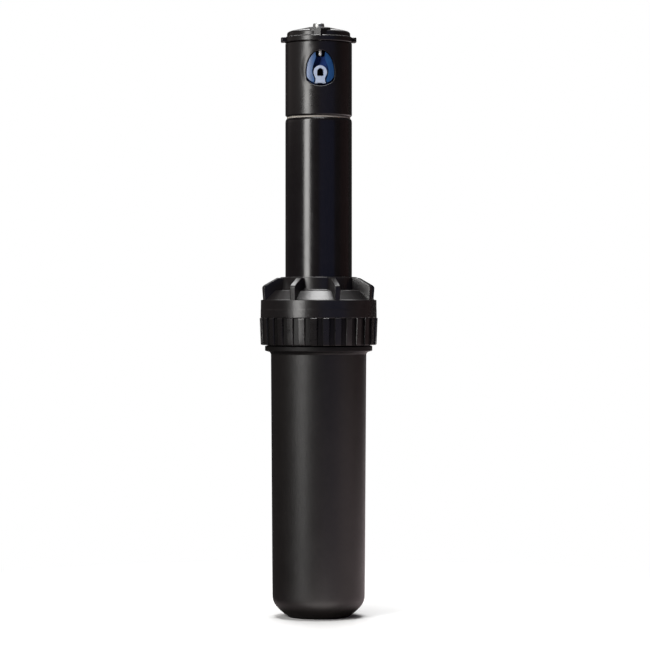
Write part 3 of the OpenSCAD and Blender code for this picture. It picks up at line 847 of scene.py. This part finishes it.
head = lathe("bearing_head", fillet([(7.05, 253, 0.3), (15.6, 253, 0.3), (15.6, 258.5), (15.2, 258.5), (15.2, 259.4, 0.15), (7.05, 259.4, 0.4),
                                     (7.05, 257, 0.05), (8.6, 257), (8.6, 255), (7.05, 255, 0.05)]), n=192)
boolean(head, [shift(lathe("drill", [(0, 250), (0.87, 250), (0.87, 262), (0, 262)], n=32, closed=False), 0, 13.9, 0)])
finish_mesh(head, 32)
place(head, M_TURRET, "riser", "riser_head")
# a ring in the gap under the turret; its pale colour paints the bright reflected line along the turret's lower edge
simple("pale_ring", [(15.2, 258.5), (16.5, 258.5, 0.15), (16.5, 259.4, 0.3), (15.2, 259.4, 0.1)], M_RING_PAINTED_HIGHLIGHT, "riser", "wear_ring", n=192)

place(build_shell(), M_TURRET, "turret", "turret_shell")
place(build_turret_cap(), M_TURRET, "turret", "turret_cap")
place(build_nozzle(), None, "turret", "nozzle")
place(build_cap_screw(), M_DULL, "turret", "cap_screw")
place(build_radius_screw(), M_ZINC, "radius_screw", "radius_screw")

# small springs
def small_spring(name, cx, cy, R, w, turns, z0, z1, body, node):
    n = int(turns * 28)
    o = wire(name, [(cx + R * math.cos(2 * PI * i / 28), cy + R * math.sin(2 * PI * i / 28), z0 + w + (z1 - z0 - 2 * w) * i / n)
                    for i in range(n + 1)], w, 10)
    dress(o, M_SPRING)
    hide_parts(node)
    if body:
        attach(o, body)
    return o


# the bypass valve spring
vs = small_spring("valve_spring", 0, -11, 1.6, 0.25, 4, 166.25, 173.95, None, "bypass_spring")
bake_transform(vs)
small_spring("snap_spring", 0, 13.9, 1.25, 0.2, 3, 250.4, 252.9, "riser", "trip_spring")

# the other inside pieces keep their CAD solids, which hold the fits and the tooth forms
for n, m in {"inlet_screen": M_SCREEN, "stator": M_ACETAL, "bypass_poppet": M_ORANGE, "turbine": M_ACETAL, "gear_case": M_GREY,
             "gear_case_cover": M_GREY, "gear_pins": M_STEEL, "gear_1": M_ACETAL, "gear_2": M_ACETAL, "gear_3": M_ACETAL,
             "drive_ring": M_GREY, "output_shaft": M_GREY, "thrust_washer": M_ACETAL, "retaining_clip": M_STEEL, "shaft_seal": M_RUBBER,
             "trip_shaft": M_STEEL, "trip_lever": M_ORANGE, "flow_vane": M_ORANGE, "arc_ring": M_ACETAL, "arc_screw": M_ACETAL,
             "turret_base": M_GREY, "flow_tube": M_GREY}.items():
    cad(n, m)

# ------------------------------------------------------------------ floor, light and camera
fm = Mat("floor_pale")
fcol = fm.mix(fm.span(fm.noise(3, 3, 0.5), 0.4, 0.6, 0, 1), (0.86, 0.86, 0.855), (0.9, 0.9, 0.895))
seen = fm.t.nodes.new("ShaderNodeLightPath")
sep = fm.t.nodes.new("ShaderNodeSeparateXYZ")
fm.t.links.new(fm.co, sep.inputs[0])
# for rays other than the camera's the floor is painted near black on the left and warm pale on the right: painted
# shade and painted bounce light on the object's sides
painted_floor_bounce = fm.mix(fm.span(sep.outputs["X"], -0.05, 0.01, 0, 1), (0.012, 0.01, 0.01), (0.78, 0.66, 0.67))
ay = fm.math("ADD", sep.outputs["Y"], 0.28)
ring = fm.math("SQRT", fm.math("ADD", fm.math("MULTIPLY", sep.outputs["X"], sep.outputs["X"]), fm.math("MULTIPLY", ay, ay)), 0.0)
# close around and under the foot it is painted dark grey, a painted contact shadow in the object's reflections
painted_floor_bounce = fm.mix(fm.span(ring, 0.022, 0.029, 0, 1), (0.12, 0.11, 0.1), painted_floor_bounce)
fcol = fm.mix(seen.outputs["Is Camera Ray"], painted_floor_bounce, fcol)
fm.out(fcol, 0.6, None)
# away from the object the floor fades into the pale backdrop
fx, fy = sep.outputs["X"], fm.math("ADD", sep.outputs["Y"], 0.28)
fr = fm.math("SQRT", fm.math("ADD", fm.math("MULTIPLY", fx, fx), fm.math("MULTIPLY", fy, fy)), 0.0)
fade = fm.math("MULTIPLY", fm.span(fr, 0.09, 0.3, 0, 1), seen.outputs["Is Camera Ray"])
glow = fm.t.nodes.new("ShaderNodeEmission")
glow.inputs["Color"].default_value = (1, 1, 1, 1)
glow.inputs["Strength"].default_value = 1.0
blend = fm.t.nodes.new("ShaderNodeMixShader")
surf = [n for n in fm.t.nodes if n.type == "OUTPUT_MATERIAL"][0]
fm.t.links.new(fade, blend.inputs[0])
fm.t.links.new(fm.b.outputs[0], blend.inputs[1])
fm.t.links.new(glow.outputs[0], blend.inputs[2])
# a glowing patch of floor just in front of the foot, unseen by the camera, paints a highlight on the rounding above it
patch = fm.math("MULTIPLY", fm.span(sep.outputs["X"], -0.032, -0.012, 0, 1), fm.span(sep.outputs["X"], 0.014, 0.03, 1, 0))
patch = fm.math("MULTIPLY", patch, fm.math("MULTIPLY", fm.span(ay, -0.085, -0.07, 0, 1), fm.span(ay, -0.030, -0.0255, 1, 0)))
patch = fm.math("MULTIPLY", patch, fm.math("SUBTRACT", 1.0, seen.outputs["Is Camera Ray"]))
painted_glow = fm.t.nodes.new("ShaderNodeEmission")
painted_glow.inputs["Color"].default_value = (1, 0.97, 0.93, 1)
fm.t.links.new(fm.math("MULTIPLY", patch, 1.6), painted_glow.inputs["Strength"])
total = fm.t.nodes.new("ShaderNodeAddShader")
fm.t.links.new(blend.outputs[0], total.inputs[0])
fm.t.links.new(painted_glow.outputs[0], total.inputs[1])
fm.t.links.new(total.outputs[0], surf.inputs["Surface"])
bm = bmesh.new()
bmesh.ops.create_circle(bm, cap_ends=True, segments=96, radius=0.62)
me = bpy.data.meshes.new("floor")
bm.to_mesh(me)
bm.free()
floor = bpy.data.objects.new("floor", me)
floor.location = (0, 0.28, 0)
bpy.context.scene.collection.objects.link(floor)
me.materials.append(fm.m)


def area(name, az, dist, z, w, h, power, colour=(1, 1, 1), aim=(0, 0, 0.15), spread=None):
    """A soft box at an azimuth from the front (degrees, to the right positive)."""
    l = bpy.data.lights.new(name, "AREA")
    l.shape = "RECTANGLE"
    l.size, l.size_y = w, h
    l.energy = power
    l.color = colour
    if spread:
        l.spread = math.radians(spread)
    o = bpy.data.objects.new(name, l)
    a = math.radians(az)
    o.location = (math.sin(a) * dist, -math.cos(a) * dist, z)
    d = Vector(aim) - o.location
    o.rotation_euler = d.to_track_quat("-Z", "Y").to_euler()
    bpy.context.scene.collection.objects.link(o)
    return o


area("key_strip", -44, 0.95, 0.47, 0.32, 0.8, 9.4, (1, 0.99, 0.97), aim=(0, 0, 0.2))
area("side_fill", -102, 1.0, 0.45, 1.2, 0.25, 0.25, (1, 0.9, 0.84), aim=(0, 0, 0.28))
area("overhead", 0, 0.12, 1.25, 0.45, 0.45, 12.0, aim=(0, 0, 0))
area("back_box", 180, 0.8, 1.42, 1.1, 0.8, 19, aim=(0, 0, 0.2))
area("low_fill", 66, 0.6, -0.01, 0.5, 0.14, 0.06, (1, 0.82, 0.82), aim=(0, 0, 0.0), spread=75)
area("rim_low", 150, 0.9, 0.05, 0.2, 0.1, 0.06, (1, 0.97, 0.95), aim=(0, 0, 0.04))
area("blue_fill", 26, 1.6, 0.3, 1.6, 0.9, 0.85, (0.2, 0.36, 1.0), aim=(0, 0, 0.22))
area("warm_fill", 100, 1.2, 0.3, 1.0, 0.9, 0.17, (1.0, 0.38, 0.32), aim=(0, 0, 0.2))

w = bpy.data.worlds.new("studio")
bpy.context.scene.world = w
w.use_nodes = True
t = w.node_tree
t.nodes.clear()
wo = t.nodes.new("ShaderNodeOutputWorld")
bg = t.nodes.new("ShaderNodeBackground")
dark = t.nodes.new("ShaderNodeBackground")
mx = t.nodes.new("ShaderNodeMixShader")
lp = t.nodes.new("ShaderNodeLightPath")
bg.inputs["Color"].default_value = (1, 1, 1, 1)
bg.inputs["Strength"].default_value = 1.0
dark.inputs["Color"].default_value = (1.0, 0.92, 0.9, 1)
dark.inputs["Strength"].default_value = 0.05
t.links.new(lp.outputs["Is Camera Ray"], mx.inputs[0])
t.links.new(dark.outputs[0], mx.inputs[1])
t.links.new(bg.outputs[0], mx.inputs[2])
t.links.new(mx.outputs[0], wo.inputs["Surface"])

sc = bpy.context.scene
sc.view_settings.view_transform = "Standard"
sc.view_settings.look = "None"

cam_d = bpy.data.cameras.new("camera")
cam_d.sensor_width = 36
cam_d.lens = 147
cam_d.clip_start, cam_d.clip_end = 0.05, 30
cam = bpy.data.objects.new("camera", cam_d)
a = math.radians(-3.4)
dist, eye, mid = 1.38, 0.1645, 0.1515
right = Vector((math.cos(a), math.sin(a), 0))
back = Vector((math.sin(a), -math.cos(a), 0))
aim = right * 0.0033 + Vector((0, 0, mid))
cam.location = back * dist + right * 0.0033 + Vector((0, 0, eye))
cam.rotation_mode = "QUATERNION"
cam.rotation_quaternion = (aim - cam.location).to_track_quat("-Z", "Y")
sc.collection.objects.link(cam)
sc.camera = cam
